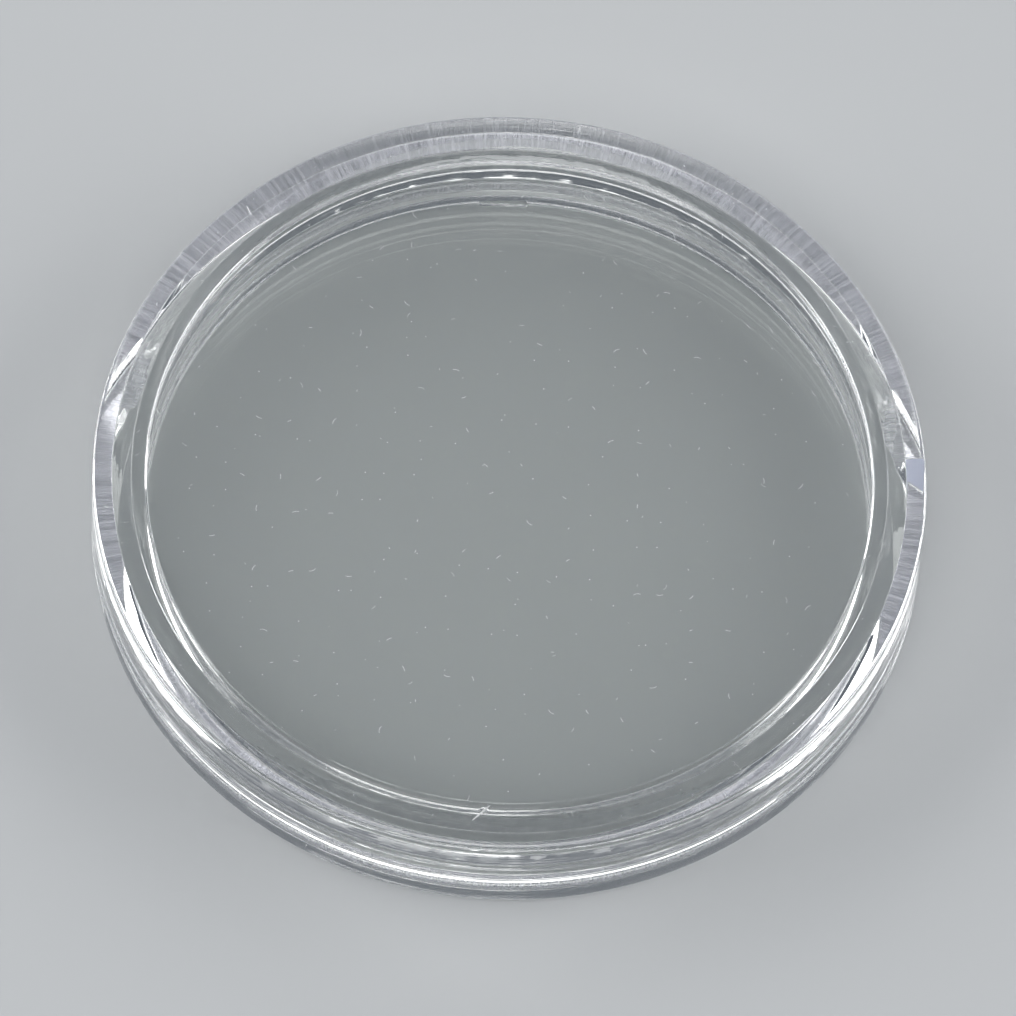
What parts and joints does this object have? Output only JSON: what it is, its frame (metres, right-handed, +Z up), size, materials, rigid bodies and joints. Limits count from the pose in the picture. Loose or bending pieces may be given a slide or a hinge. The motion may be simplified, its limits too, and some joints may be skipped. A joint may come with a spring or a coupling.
{
  "type": "coin capsule",
  "caption": "Round clear plastic case: a lid shell pushes onto a base shell and closes a flat coin pocket behind two windows.",
  "frame": {"origin": "centre of the flat underside, on the surface that the capsule stands on", "axes": "+Z up along the capsule's turning axis, from the base window to the lid window; the fingernail notch is near +X, turned 10.3 degrees towards +Y"},
  "size_m": [0.046, 0.046, 0.0061],
  "materials": {
    "base_clear_plastic": "clear gloss, injection moulded",
    "lid_clear_plastic": "clear gloss, injection moulded"
  },
  "bodies": {
    "base": {"base_shell": "base_clear_plastic"},
    "lid": {"lid_shell": "lid_clear_plastic"}
  },
  "joints": [
    {"name": "lid_lift", "type": "slide", "parent": "base", "child": "lid", "axis": [0, 0, 1], "range_m": [0, 0.012]}
  ]
}
